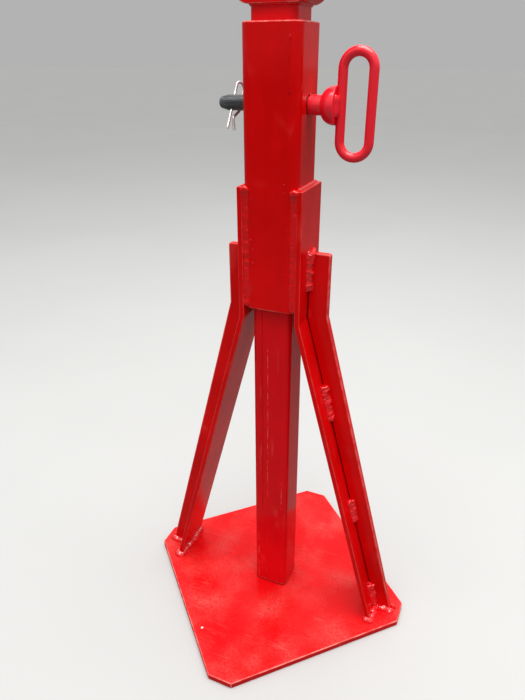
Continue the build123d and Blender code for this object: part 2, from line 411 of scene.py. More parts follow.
@made_once
def paint_chips(name):
    """A few small chips with ragged rims."""
    tree, given, made = new_group(
        name, "ShaderNodeTree",
        [("Vector", PLACE, None), ("Amount", NUMBER, 0.1), ("Spacing", NUMBER, 0.03),
         ("Radius", NUMBER, 0.06)],
        [("Mask", NUMBER)],
    )
    shift = (0.194, 0.092, 0.0)  # brings the plate's largest chip near its left corner
    ragged = noise(tree, given["Vector"], 0.0035, 6.4, detail=3.0, output="Color")
    ragged = vector_sum(tree, "SCALE", ragged, scale=0.0022)
    vector = vector_sum(tree, "ADD", given["Vector"], ragged)
    vector = vector_sum(tree, "ADD", vector, shift)
    cells = place(
        tree, "ShaderNodeTexVoronoi",
        {"Vector": vector, "Scale": sums(tree, "DIVIDE", 1.0, given["Spacing"])},
    )
    pick = place(tree, "ShaderNodeSeparateColor", {0: cells.outputs["Color"]})
    kept = sums(tree, "LESS_THAN", pick.outputs[0], given["Amount"])
    reach = sums(tree, "MULTIPLY", sums(tree, "MULTIPLY_ADD", pick.outputs[1], 0.8, 0.3), given["Radius"])
    inside = sums(tree, "LESS_THAN", cells.outputs["Distance"], reach)
    feed(tree, made.inputs["Mask"], sums(tree, "MULTIPLY", kept, inside))
    return tree


@made_once
def dark_specks(name):
    """Tiny specks of grit, gathered in patches on faces that look up."""
    tree, given, made = new_group(
        name, "ShaderNodeTree", [("Vector", PLACE, None), ("Amount", NUMBER, 0.5)], [("Mask", NUMBER)]
    )
    grit = ramp(tree, noise(tree, given["Vector"], 0.0024, 12.4, detail=2.0), 0.62, 0.69)
    patches = ramp(tree, noise(tree, given["Vector"], 0.07, 1.8, detail=2.0), 0.42, 0.62)
    mask = sums(tree, "MULTIPLY", grit, patches)
    mask = sums(tree, "MULTIPLY", mask, ramp(tree, upward(tree), 0.3, 0.9))
    feed(tree, made.inputs["Mask"], sums(tree, "MULTIPLY", mask, given["Amount"], clamp=True))
    return tree


@made_once
def rubbed_edges(name):
    """Uneven wear and painted highlight on the faces that the mesh marks as rims."""
    tree, given, made = new_group(
        name, "ShaderNodeTree", [("Vector", PLACE, None), ("Amount", NUMBER, 0.5)], [("Mask", NUMBER)]
    )
    rim = place(tree, "ShaderNodeAttribute", attribute_name="rim").outputs["Fac"]
    rim = sums(tree, "MAXIMUM", rim, 0.0)
    broken = ramp(tree, noise(tree, given["Vector"], 0.011, 9.2, detail=4.0), 0.38, 0.62)
    mask = sums(tree, "MULTIPLY", rim, sums(tree, "MULTIPLY_ADD", broken, 0.7, 0.3))
    feed(tree, made.inputs["Mask"], sums(tree, "MULTIPLY", mask, given["Amount"], clamp=True))
    return tree


# ---------------------------------------------------------------- materials

def blank_material(name):
    """Material with an empty tree, its shader and object coordinates."""
    material = bpy.data.materials.new(name)
    material.use_nodes = True
    tree = material.node_tree
    tree.nodes.clear()
    shader = place(tree, "ShaderNodeBsdfPrincipled")
    place(tree, "ShaderNodeOutputMaterial", {"Surface": shader.outputs[0]})
    where = place(tree, "ShaderNodeTexCoord").outputs["Object"]
    return material, tree, shader, where


def emboss(tree, shader, height, strength=1.0):
    """Bends the shader's normal by a height in metres."""
    bump = output_of(tree, "ShaderNodeBump", {"Strength": strength, "Distance": 1.0, "Height": height})
    feed(tree, shader.inputs["Normal"], bump)


def enamel(
    name, paint, gloss, shine=0.18, dust=0.3, scuffs=0.2, slides=0.0, chips=0.0, edges=0.35, lift=0.0
):
    """Red enamel; gloss is its clean roughness, shine its reflectance, lift a painted lightening toward the
    fresh colour for light falling on it (on the handle also its brighter coat), edges both wear and painted
    highlight on the rounded rims, the rest how much it was used.
    """
    if name in bpy.data.materials:
        return bpy.data.materials[name]
    material, tree, shader, where = blank_material(name)
    film = use_group(tree, sprayed_film(), {
        "Vector": where, "Peel Size": paint.peel_size, "Peel Depth": paint.peel_depth,
        "Wave Size": paint.wave_size, "Wave Depth": paint.wave_depth,
    })
    dusty = use_group(tree, settled_dust(), {"Vector": where, "Amount": dust, "Patch Size": 0.055})
    marks = use_group(tree, drag_marks(), {"Vector": where, "Amount": scuffs, "Line Width": 0.02})
    slid = use_group(tree, slide_marks(), {"Vector": where, "Amount": slides})
    marks = sums(tree, "MAXIMUM", marks, slid)
    gritty = use_group(tree, dark_specks(), {"Vector": where, "Amount": dust})
    chipped = use_group(tree, paint_chips(), {
        "Vector": where, "Amount": chips, "Spacing": 0.034, "Radius": 0.075,
    })
    # wear and painted highlight on the rounded rims
    worn = use_group(tree, rubbed_edges(), {"Vector": where, "Amount": edges})

    # heavier and lighter coat, in clouds and in streaks that ran down while it was wet
    clouds = noise(tree, where, 0.07, 5.5, detail=3.0)
    runs = stretch(tree, where, (85.0, 85.0, 6.0))
    runs = sums(tree, "SUBTRACT", noise(tree, runs, 1.0, 0.7, detail=2.0), 0.5)
    coat = sums(tree, "MULTIPLY_ADD", runs, 0.4, clouds)
    # painted light: lift lightens both coat colours toward the fresh colour
    thick = opaque(Vector(paint.thick) * (1.0 - lift) + Vector(paint.fresh) * lift)
    thin = opaque(Vector(paint.thin) * (1.0 - lift) + Vector(paint.fresh) * lift)
    base = blend(tree, ramp(tree, coat, 0.3, 0.72), thick, thin)
    # painted shade: crease faces marked -1 take the dark crease colour
    painted_crease_shade = place(tree, "ShaderNodeAttribute", attribute_name="rim").outputs["Fac"]
    painted_crease_shade = sums(tree, "MULTIPLY", painted_crease_shade, -1.0, clamp=True)
    base = blend(tree, painted_crease_shade, base, opaque(paint.shadow))
    # wear and painted highlight: the rims take the pale rubbed colour
    base = blend(tree, worn, base, opaque(paint.rubbed))
    base = blend(tree, sums(tree, "MULTIPLY", marks, 0.6), base, opaque(paint.rubbed))
    base = blend(tree, sums(tree, "MULTIPLY", dusty, 0.24), base, opaque(paint.dust))
    base = blend(tree, sums(tree, "MULTIPLY", gritty, 0.7), base, opaque(paint.grit))
    base = blend(tree, chipped, base, opaque(paint.primer))
    feed(tree, shader.inputs["Base Color"], base)

    uneven = sums(tree, "MULTIPLY_ADD", noise(tree, where, 0.03, 7.1, detail=3.0), 0.10, gloss - 0.05)
    rough = sums(tree, "MULTIPLY_ADD", dusty, 0.30, uneven)
    rough = sums(tree, "MULTIPLY_ADD", marks, 0.18, rough)
    rough = sums(tree, "MULTIPLY_ADD", chipped, 0.40, rough, clamp=True)
    feed(tree, shader.inputs["Roughness"], rough)
    shader.inputs["Specular IOR Level"].default_value = shine

    height = sums(tree, "MULTIPLY_ADD", chipped, -0.05 * MM, film)
    height = sums(tree, "MULTIPLY_ADD", marks, -0.012 * MM, height)
    emboss(tree, shader, height)
    return material


def black_oxide(pin):
    """Dark satin finish of the pin's shank, rubbed along its length."""
    name = "black oxide"
    if name in bpy.data.materials:
        return bpy.data.materials[name]
    material, tree, shader, where = blank_material(name)
    along = stretch(tree, where, (35.0, 420.0, 420.0))
    amount = ramp(tree, noise(tree, along, 1.0, 2.2, detail=3.0), 0.35, 0.75)
    feed(tree, shader.inputs["Base Color"], blend(tree, amount, opaque(pin.oxide), opaque(pin.worn)))
    cloudy = noise(tree, where, 0.006, 3.8, detail=4.0)
    feed(tree, shader.inputs["Roughness"], sums(tree, "MULTIPLY_ADD", cloudy, 0.25, 0.15))
    grain = noise(tree, where, 0.0009, 1.1, detail=2.0)
    emboss(tree, shader, sums(tree, "MULTIPLY", grain, 0.02 * MM), strength=0.6)
    return material


def zinc_wire(pin):
    """Bright plated spring wire with dull streaks."""
    name = "zinc plated wire"
    if name in bpy.data.materials:
        return bpy.data.materials[name]
    material, tree, shader, where = blank_material(name)
    dull = ramp(tree, noise(tree, where, 0.006, 4.4, detail=4.0), 0.45, 0.70)
    spots = ramp(tree, noise(tree, where, 0.0012, 6.0, detail=2.0), 0.55, 0.75)
    amount = sums(tree, "MULTIPLY_ADD", spots, 0.3, sums(tree, "MULTIPLY", dull, 0.6), clamp=True)
    feed(tree, shader.inputs["Base Color"], blend(tree, amount, opaque(pin.zinc), opaque(pin.dull_zinc)))
    feed(tree, shader.inputs["Roughness"], sums(tree, "MULTIPLY_ADD", dull, 0.15, 0.32))
    shader.inputs["Metallic"].default_value = 0.75
    grain = noise(tree, where, 0.0007, 1.9, detail=2.0)
    emboss(tree, shader, sums(tree, "MULTIPLY", grain, 0.012 * MM), strength=0.5)
    return material


def studio_floor(stage):
    """Pale matt floor with faint cloudiness, which sends little light back up at the stand."""
    material, tree, shader, where = blank_material("studio floor")
    cloudy = ramp(tree, noise(tree, where, 0.6, 3.0, detail=3.0), 0.2, 0.8)
    dark = opaque(Vector(stage.floor) * 0.96)
    pale = blend(tree, cloudy, dark, opaque(stage.floor))
    seen = place(tree, "ShaderNodeLightPath").outputs["Is Camera Ray"]
    feed(tree, shader.inputs["Base Color"], blend(tree, seen, opaque(stage.bounce), pale))
    shader.inputs["Roughness"].default_value = 0.85
    shader.inputs["Specular IOR Level"].default_value = 0.2
    return material


# ---------------------------------------------------------------- meshes

def link(name, mesh):
    piece = bpy.data.objects.new(name, mesh)
    bpy.context.scene.collection.objects.link(piece)
    return piece


def bake(piece):
    """Turns the piece's modifiers into plain mesh."""
    graph = bpy.context.evaluated_depsgraph_get()
    baked = bpy.data.meshes.new_from_object(piece.evaluated_get(graph), depsgraph=graph)
    piece.modifiers.clear()
    piece.data = baked
    return piece


def body_of_node(node):
    return frame["nodes"][node]["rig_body"]


def cut_steel(node, edge_round, material, groove=None):
    """Stands for a CAD node: the same shape with whole faces and rounded edges.

    groove says of a point whether an edge there lies in a crease, where it gets painted shade and doesn't
    rub.
    """
    bm = bmesh.new()
    bm.from_mesh(frame["nodes"][node].data)
    bmesh.ops.remove_doubles(bm, verts=bm.verts, dist=0.001 * MM)
    bmesh.ops.dissolve_limit(bm, angle_limit=radians(0.3), verts=bm.verts, edges=bm.edges)
    bm.verts.index_update()
    corners = [v.co.copy() for v in bm.verts]
    faces = [[v.index for v in f.verts] for f in bm.faces]
    bm.free()
    mesh = bpy.data.meshes.new(node + "_steel")
    mesh.from_pydata(corners, [], faces)
    mesh.polygons.foreach_set("use_smooth", [True] * len(mesh.polygons))
    mesh.materials.append(material)
    piece = link(node + "_steel", mesh)
    bevel = piece.modifiers.new("edges", "BEVEL")
    bevel.width = edge_round
    bevel.segments = 4
    bevel.limit_method = "ANGLE"
    bevel.angle_limit = radians(28)
    bevel.use_clamp_overlap = False
    weighted = piece.modifiers.new("normals", "WEIGHTED_NORMAL")
    weighted.weight = 80
    weighted.keep_sharp = False
    bake(piece)
    mark_rims(piece.data, groove or (lambda spot: False))
    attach(piece, body_of_node(node))
    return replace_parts(piece, node)


def mark_rims(mesh, groove):
    """Marks the narrow faces of rounded edges: 1 where they get wear and a painted highlight, -1 in a
    crease, where they get painted shade.
    """
    rim = mesh.attributes.new("rim", "FLOAT", "FACE")
    for face in mesh.polygons:
        around = [mesh.vertices[i].co for i in face.vertices]
        girth = sum((a - b).length for a, b in zip(around, around[1:] + around[:1]))
        if 2 * face.area / girth < WIDEST_RIM:
            rim.data[face.index].value = -1.0 if groove(face.center) else 1.0


def paint_node(node, material):
    """Gives a CAD node its finish."""
    piece = frame["nodes"][node]
    for slot in piece.material_slots:
        slot.material = material


def stroke_mesh(name, strokes):
    """Loose lines for beads to follow: each stroke is its points and which way the bead faces there."""
    points, edges, looks = [], [], []
    for line, faces in strokes:
        first = len(points)
        points += [Vector(p) for p in line]
        edges += [(first + i, first + i + 1) for i in range(len(line) - 1)]
        looks += [Vector(look).normalized() for look in faces]
    mesh = bpy.data.meshes.new(name)
    mesh.from_pydata(points, edges, [])
    facing = mesh.attributes.new("facing", "FLOAT_VECTOR", "POINT")
    facing.data.foreach_set("vector", [c for look in looks for c in look])
    return mesh


def grow(name, mesh, tree, values):
    """Runs a geometry tree on a mesh, with its inputs set by name, and keeps the plain result."""
    piece = link(name, mesh)
    modifier = piece.modifiers.new(tree.name, "NODES")
    modifier.node_group = tree
    for socket in tree.interface.items_tree:
        if socket.in_out == "INPUT" and socket.name in values:
            modifier[socket.identifier] = values[socket.name]
    return bake(piece)


@made_once
def laid_bead(name):
    """Geometry tree: a rippled, slightly uneven bead along each line of the mesh."""
    tree, given, made = new_group(
        name, "GeometryNodeTree",
        [("Geometry", SHAPE, None), ("Radius", NUMBER, 0.005), ("Flat", NUMBER, 1.0),
         ("Corner", NUMBER, 0.002), ("Step", NUMBER, 0.0005), ("Pitch", NUMBER, 0.0034),
         ("Depth", NUMBER, 0.0005), ("Bow", NUMBER, 0.5), ("Wander", NUMBER, 0.0005),
         ("Lumps", NUMBER, 0.25), ("Start Swell", NUMBER, 0.2), ("Seed", "NodeSocketInt", 0),
         ("Material", "NodeSocketMaterial", None)],
        [("Geometry", SHAPE)],
    )
    lines = output_of(tree, "GeometryNodeMeshToCurve", {"Mesh": given["Geometry"]})
    lines = output_of(
        tree, "GeometryNodeFilletCurve",
        {"Curve": lines, "Count": 6, "Radius": given["Corner"], "Limit Radius": True}, mode="POLY",
    )
    lines = output_of(
        tree, "GeometryNodeResampleCurve", {"Curve": lines, "Length": given["Step"]}, mode="LENGTH"
    )

    where = output_of(tree, "GeometryNodeInputPosition")
    sway = noise(tree, where, 0.011, given["Seed"], detail=2.0, output="Color")
    sway = vector_sum(tree, "SUBTRACT", sway, (0.5, 0.5, 0.5))
    sway = vector_sum(tree, "SCALE", sway, scale=sums(tree, "MULTIPLY", given["Wander"], 3.0))
    lines = output_of(tree, "GeometryNodeSetPosition", {"Geometry": lines, "Offset": sway})

    run = place(tree, "GeometryNodeSplineParameter").outputs["Length"]
    whole = place(tree, "GeometryNodeSplineLength").outputs["Length"]
    to_end = sums(tree, "MINIMUM", run, sums(tree, "SUBTRACT", whole, run))
    short = sums(tree, "SUBTRACT", 1.0, sums(tree, "DIVIDE", to_end, given["Radius"]), clamp=True)
    round_end = sums(tree, "SQRT", sums(tree, "SUBTRACT", 1.0001, sums(tree, "MULTIPLY", short, short)))
    round_end = sums(tree, "MAXIMUM", round_end, 0.12)
    past = sums(tree, "DIVIDE", run, sums(tree, "MULTIPLY", given["Radius"], 1.6))
    swell = sums(tree, "EXPONENT", sums(tree, "MULTIPLY", sums(tree, "MULTIPLY", past, past), -1.0))
    swell = sums(tree, "MULTIPLY_ADD", swell, given["Start Swell"], 1.0)
    fat = sums(tree, "SUBTRACT", noise(tree, where, 0.008, 3.7, detail=1.0), 0.5)
    fat = sums(tree, "MULTIPLY_ADD", fat, sums(tree, "MULTIPLY", given["Lumps"], 0.45), 1.0)
    scale = sums(tree, "MULTIPLY", sums(tree, "MULTIPLY", round_end, swell), fat)

    held = place(tree, "GeometryNodeCaptureAttribute", {"Geometry": lines})
    held.capture_items.new("FLOAT", "run")
    held.capture_items.new("FLOAT", "size")
    feed(tree, held.inputs["run"], run)
    feed(tree, held.inputs["size"], sums(tree, "MULTIPLY", scale, given["Radius"]))
    profile = output_of(
        tree, "GeometryNodeCurvePrimitiveCircle", {"Resolution": 20, "Radius": given["Radius"]}
    )
    bead = output_of(
        tree, "GeometryNodeCurveToMesh",
        {"Curve": held.outputs[0], "Profile Curve": profile, "Scale": scale, "Fill Caps": True},
    )

    # section: as wide as the radius says, but flatter the way the bead faces
    normal = output_of(tree, "GeometryNodeInputNormal")
    facing = output_of(
        tree, "GeometryNodeInputNamedAttribute", {"Name": "facing"}, data_type="FLOAT_VECTOR"
    )
    facing = vector_sum(tree, "NORMALIZE", facing)
    front = vector_sum(tree, "DOT_PRODUCT", normal, facing)
    sunk = sums(tree, "MULTIPLY", held.outputs["size"], sums(tree, "SUBTRACT", given["Flat"], 1.0))
    sunk = vector_sum(tree, "SCALE", facing, scale=sums(tree, "MULTIPLY", front, sunk))
    bead = output_of(tree, "GeometryNodeSetPosition", {"Geometry": bead, "Offset": sunk})

    # crescent ripples: a scallop for every pitch, which trails at the bead's two toes
    aside = sums(tree, "SUBTRACT", 1.0, front)
    beat = sums(tree, "DIVIDE", held.outputs["run"], given["Pitch"])
    beat = sums(tree, "MULTIPLY_ADD", aside, given["Bow"], beat)
    uneven = noise(tree, where, 0.009, 5.9, detail=1.0)
    beat = sums(tree, "MULTIPLY_ADD", uneven, 2.2, beat)
    scallop = sums(tree, "ABSOLUTE", sums(tree, "SINE", sums(tree, "MULTIPLY", beat, pi)))
    scallop = sums(tree, "POWER", scallop, 0.7)
    clear = ramp(tree, noise(tree, where, 0.012, 2.6, detail=1.0), 0.36, 0.62)
    lift = sums(tree, "MULTIPLY", sums(tree, "SUBTRACT", scallop, 0.6), given["Depth"])
    lift = sums(tree, "MULTIPLY", lift, sums(tree, "MULTIPLY_ADD", clear, 0.85, 0.15))
    crusty = sums(tree, "SUBTRACT", noise(tree, where, 0.0026, 8.8, detail=1.0), 0.5)
    lift = sums(tree, "MULTIPLY_ADD", crusty, sums(tree, "MULTIPLY", given["Depth"], 0.8), lift)
    knobs = sums(tree, "SUBTRACT", noise(tree, where, 0.0055, 6.1, detail=1.0), 0.5)
    knobs = sums(tree, "MULTIPLY", knobs, sums(tree, "MULTIPLY", given["Lumps"], given["Radius"]))
    lift = sums(tree, "MULTIPLY_ADD", knobs, 0.7, lift)
    bead = output_of(
        tree, "GeometryNodeSetPosition",
        {"Geometry": bead, "Offset": vector_sum(tree, "SCALE", normal, scale=lift)},
    )
    bead = output_of(tree, "GeometryNodeSetShadeSmooth", {"Geometry": bead})
    bead = output_of(tree, "GeometryNodeRealizeInstances", {"Geometry": bead})
    bead = output_of(
        tree, "GeometryNodeSetMaterial", {"Geometry": bead, "Material": given["Material"]}
    )
    feed(tree, made.inputs["Geometry"], bead)
    return tree


@made_once
def weld_spatter(name):
    """Geometry tree: small flattened drops scattered over the mesh's faces."""
    tree, given, made = new_group(
        name, "GeometryNodeTree",
        [("Geometry", SHAPE, None), ("Density", NUMBER, 9000.0), ("Smallest", NUMBER, 0.0003),
         ("Largest", NUMBER, 0.001), ("Seed", "NodeSocketInt", 0),
         ("Material", "NodeSocketMaterial", None)],
        [("Geometry", SHAPE)],
    )
    drops = place(
        tree, "GeometryNodeDistributePointsOnFaces",
        {"Mesh": given["Geometry"], "Density": given["Density"], "Seed": given["Seed"]},
        distribute_method="RANDOM",
    )
    ball = place(tree, "GeometryNodeMeshIcoSphere", {"Radius": 1.0, "Subdivisions": 2}).outputs["Mesh"]
    ball = output_of(tree, "GeometryNodeTransform", {"Geometry": ball, "Scale": (1.0, 0.88, 0.6)})
    size = place(tree, "FunctionNodeRandomValue", data_type="FLOAT")
    feed(tree, size.inputs[2], given["Smallest"])
    feed(tree, size.inputs[3], given["Largest"])
    feed(tree, size.inputs["Seed"], given["Seed"])
    spread = output_of(
        tree, "GeometryNodeInstanceOnPoints",
        {"Points": drops.outputs["Points"], "Instance": ball, "Rotation": drops.outputs["Rotation"],
         "Scale": size.outputs[1]},
    )
    spread = output_of(tree, "GeometryNodeRealizeInstances", {"Geometry": spread})
    spread = output_of(tree, "GeometryNodeSetShadeSmooth", {"Geometry": spread})
    spread = output_of(
        tree, "GeometryNodeSetMaterial", {"Geometry": spread, "Material": given["Material"]}
    )
    feed(tree, made.inputs["Geometry"], spread)
    return tree


# ---------------------------------------------------------------- lines the beads follow

def crease(side, height, steel):
    """Distance from the middle to the strap's outer face, at this height."""
    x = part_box("sleeve_tube")[1].x + steel.strap_thickness
    if height < steel.bend_height:
        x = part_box("sleeve_tube")[1].x + steel.strap_thickness / cos(steel.leg_angle)
        x += (steel.bend_height - height) * tan(steel.leg_angle)
    return side * x


def corner_lines(side, face, weld):
    """Down the corner between a strap and the sleeve."""
    inward, sunk, proud, blob = 3.1 * MM, 2.5 * MM, 1.4 * MM, 14 * MM
    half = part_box("sleeve_tube")[1].x
    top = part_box("leg_strap_right")[1].z + 0.3 * weld.corner
    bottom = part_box("sleeve_tube")[0].z + 0.3 * weld.corner
    x, y = side * (half - inward), face * (half - sunk)
    line = [(x, y + face * proud, top), (x, y, top - blob), (x, y, bottom)]
    return [(line, [(side * 0.15, face, 0.0)] * 3)]


def top_lines(side):
    """Across the top end of a strap."""
    short, outward, proud = 3.0 * MM, 0.8 * MM, 0.4 * MM
    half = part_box("sleeve_tube")[1].x
    reach = half - short
    x, z = side * (half + outward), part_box("leg_strap_right")[1].z + proud
    return [([(x, -reach, z), (x, reach, z)], [(side, 0.0, 1.0)] * 2)]


def stitch_lines(side, steel):
    """Four stitches down each crease between rib and strap."""
    rib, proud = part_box("leg_rib_right"), 1.3 * MM
    lines = []
    for height, stitch in STITCHES:
        for _, face in FACES:
            lean = steel.leg_angle if height < steel.bend_height else 0.0
            down = Vector((side * sin(lean), 0.0, -cos(lean)))
            look = Vector((side * cos(lean), face, sin(lean)))
            middle = Vector((crease(side, height, steel), face * rib[1].y, height)) + look * proud
            half = down * stitch / 2
            lines.append(([middle - half, middle + half], [look, look]))
    return lines


def foot_lines(side, steel):
    """Round the foot of a leg, on the plate."""
    strap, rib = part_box("leg_strap_right"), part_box("leg_rib_right")
    gap = 1.5 * MM  # from the steel to the bead's middle
    floor = strap[0].z + gap
    outer = crease(1, strap[0].z, steel)
    inner = outer - steel.strap_thickness / cos(steel.leg_angle)
    rib_half, width, tip = rib[1].y, strap[1].y, rib[1].x
    near_side = [(inner, 0, -1, 0), (inner, width, -1, 1), (outer, width, 1, 1), (outer, rib_half, 1, 1)]
    near_side += [(tip, rib_half, 1, 1), (tip, 0, 1, 0)]
    lines = []
    for _, face in FACES:
        points = [(side * (x + a * gap), face * (y + b * gap), floor) for x, y, a, b in near_side]
        looks = [(side * a, face * b, 1.0) for x, y, a, b in near_side]
        lines.append((points, looks))
    return lines


def collar_lines():
    """Round the ram's top, under the saddle."""
    proud = 0.5 * MM
    half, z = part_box("ram_tube")[1].x + proud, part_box("ram_tube")[1].z - proud
    round_the_tube = [(1, 0), (1, 1), (-1, 1), (-1, -1), (1, -1), (1, 0.1)]
    points = [(a * half, b * half, z) for a, b in round_the_tube]
    return [(points, [(a, b, -1.0) for a, b in round_the_tube])]


def handle_lines():
    """Down both sides of the loop's rod, against the head's flat."""
    bead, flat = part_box("weld_loop"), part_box("pin_head")[1].x
    reach, sunk, aside = 11.5 * MM, 1.5 * MM, 8.0 * MM
    middle = (bead[0].z + bead[1].z) / 2
    lines = []
    for _, face in FACES:
        x, y = flat - sunk, face * aside
        lines.append(([(x, y, middle + reach), (x, y, middle - reach)], [(0.75, face, 0.0)] * 2))
    return lines


def lay_bead(node, strokes, radius, swell, weld, material, corner=0.0, lumps=0.3, flat=0.65, ripple=1.0):
    """Makes one bead piece and lets it stand for its CAD node."""
    name = node.replace("weld", "bead")
    piece = grow(name, stroke_mesh(name, strokes), laid_bead(), {
        "Radius": radius, "Flat": flat, "Corner": corner, "Step": weld.pitch / 7, "Pitch": weld.pitch,
        "Depth": ripple * weld.depth * radius / weld.corner, "Wander": ripple * weld.wander,
        "Start Swell": swell, "Lumps": lumps, "Seed": weld.seed, "Material": material,
    })
    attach(piece, body_of_node(node))
    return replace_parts(piece, node)


# ---------------------------------------------------------------- operators

class BuildBasePlate(bpy.types.Operator):
    """Make the base plate"""

    bl_idname = "jack_stand.base_plate"
    bl_label = "Base plate"

    def execute(self, context):
        stand = context.scene.jack_stand
        paint = enamel(
            "plate enamel", stand.paint, 0.25, dust=0.9, scuffs=0.3, chips=0.02, edges=1.0, lift=0.1
        )
        cut_steel("base_plate", stand.steel.edge_round, paint)
        return {"FINISHED"}


class BuildTubes(bpy.types.Operator):
    """Make the sleeve and the ram"""

    bl_idname = "jack_stand.tubes"
    bl_label = "Sleeve and ram"

    def execute(self, context):
        stand = context.scene.jack_stand
        paint = enamel("sleeve enamel", stand.paint, 0.10, dust=0.15, scuffs=0.12, edges=0.8)
        cut_steel("sleeve_tube", stand.steel.tube_round, paint)
        slid = enamel("ram enamel", stand.paint, 0.10, dust=0.15, slides=1.0, edges=0.5, lift=0.2)
        cut_steel("ram_tube", stand.steel.tube_round, slid)
        return {"FINISHED"}


class BuildLegs(bpy.types.Operator):
    """Make the straps and ribs of both legs"""

    bl_idname = "jack_stand.legs"
    bl_label = "Legs"

    def execute(self, context):
        stand = context.scene.jack_stand
        paint = enamel("strap enamel", stand.paint, 0.18, dust=0.25, scuffs=0.2, edges=0.22)
        rubbed = enamel("rib enamel", stand.paint, 0.18, dust=0.25, scuffs=0.2, edges=0.55)

        # rounded edges in the crease between rib and strap get painted shade instead of wear
        def in_crease(spot):
            return abs(spot.x) < crease(1, spot.z, stand.steel) + 3 * MM

        for hand, _ in SIDES:
            cut_steel("leg_strap_" + hand, stand.steel.edge_round, paint)
            cut_steel("leg_rib_" + hand, stand.steel.rib_round, rubbed, in_crease)
        return {"FINISHED"}


class BuildSaddle(bpy.types.Operator):
    """Make the saddle"""

    bl_idname = "jack_stand.saddle"
    bl_label = "Saddle"

    def execute(self, context):
        stand = context.scene.jack_stand
        paint = enamel("saddle enamel", stand.paint, 0.24, dust=0.5, scuffs=0.6, chips=0.03, edges=0.9)
        cut_steel("saddle_cradle", stand.steel.edge_round, paint)
        return {"FINISHED"}


class BuildWelds(bpy.types.Operator):
    """Lay every weld bead"""

    bl_idname = "jack_stand.welds"
    bl_label = "Weld beads"

    def execute(self, context):
        stand = context.scene.jack_stand
        steel, weld = stand.steel, stand.weld
        paint = enamel("weld enamel", stand.paint, **BEAD)
        bright = enamel("stitch enamel", stand.paint, **BRIGHT_BEAD)
        wet = enamel("foot weld enamel", stand.paint, **WET_BEAD)
        grip = enamel("handle enamel", stand.paint, **HANDLE)
        for hand, side in SIDES:
            for end, face in FACES:
                node = f"weld_{hand}_{end}"
                corner = corner_lines(side, face, weld)
                lay_bead(node, corner, weld.corner, 0.35, weld, paint, lumps=0.6, flat=0.55, ripple=0.2)
            lay_bead(f"weld_top_{hand}", top_lines(side), weld.top, 0.1, weld, paint, ripple=0.5)
            stitches = stitch_lines(side, steel)
            rib = f"weld_rib_{hand}"
            lay_bead(rib, stitches, weld.stitch, 0.3, weld, bright, lumps=1.2, flat=0.5, ripple=0.5)
            foot = foot_lines(side, steel)
            lay_bead(f"weld_foot_{hand}", foot, weld.foot, 0.0, weld, wet, corner=2 * MM, lumps=1.6)
        collar = collar_lines()
        lay_bead("weld_saddle", collar, weld.collar, 0.0, weld, paint, corner=8 * MM, ripple=0.6)
        lay_bead("weld_loop", handle_lines(), weld.handle, 0.0, weld, grip, lumps=0.1, ripple=0.1)
        return {"FINISHED"}


class BuildPaintRuns(bpy.types.Operator):
    """Add the sags where wet enamel ran down"""

    bl_idname = "jack_stand.paint_runs"
    bl_label = "Paint runs"

    def execute(self, context):
        stand = context.scene.jack_stand
        paint = enamel("run enamel", stand.paint, 0.12, dust=0.0, scuffs=0.0, edges=0.0)
        radius, proud = 1.0 * MM, 0.7 * MM
        ram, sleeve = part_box("ram_tube"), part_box("sleeve_tube")
        # name, body, front face, place across, low end, high end
        runs = (
            ("ram_paint_run", "ram", ram[0].y, -11.5 * MM, 155 * MM, sleeve[0].z - 4 * MM),
            ("sleeve_paint_run", "frame", sleeve[0].y, 22 * MM, 712 * MM, sleeve[1].z - 12 * MM),
        )
        for name, body, face, x, low, high in runs:
            y = face + radius - proud
            line = [(x, y, low), (x, y, high)]
            piece = grow(name, stroke_mesh(name, [(line, [(0, -1, 0)] * 2)]), laid_bead(), {
                "Radius": radius, "Corner": 0.0, "Step": 1.2 * MM, "Pitch": 9 * MM,
                "Depth": 0.05 * MM, "Wander": 0.35 * MM, "Lumps": 0.2, "Start Swell": 0.28,
                "Seed": stand.weld.seed, "Material": paint,
            })
            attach(piece, body)
        return {"FINISHED"}


class BuildSpatter(bpy.types.Operator):
    """Scatter painted-over weld spatter beside the beads"""

    bl_idname = "jack_stand.spatter"
    bl_label = "Weld spatter"

    def execute(self, context):
        stand = context.scene.jack_stand
        paint = enamel("weld enamel", stand.paint, **BEAD)
        sleeve, strap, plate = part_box("sleeve_tube"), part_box("leg_strap_right"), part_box("base_plate")
        near_bead, far_from_bead, past_ends = 10 * MM, 15 * MM, 10 * MM
        foot_in, foot_out, foot_near, foot_far = 26 * MM, 2 * MM, 8 * MM, 50 * MM
        corners, faces = [], []

        def patch(a, b, c, d):
            faces.append(range(len(corners), len(corners) + 4))
            corners.extend((a, b, c, d))

        for _, side in SIDES:
            for _, face in FACES:
                y = face * sleeve[1].y
                near, far = side * (sleeve[1].x - near_bead), side * (sleeve[1].x - far_from_bead)
                low, high = sleeve[0].z + past_ends, strap[1].z + past_ends
                patch((near, y, low), (far, y, low), (far, y, high), (near, y, high))
                x0, x1 = side * (strap[1].x - foot_in), side * (strap[1].x + foot_out)
                y0, y1, z = face * foot_near, face * foot_far, plate[1].z
                patch((x0, y0, z), (x1, y0, z), (x1, y1, z), (x0, y1, z))
        mesh = bpy.data.meshes.new("weld_spatter")
        mesh.from_pydata(corners, [], faces)
        piece = grow("weld_spatter", mesh, weld_spatter(), {
            "Density": 9000.0, "Smallest": 0.25 * MM, "Largest": 0.9 * MM,
            "Seed": stand.weld.seed, "Material": paint,
        })
        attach(piece, "frame")
        return {"FINISHED"}


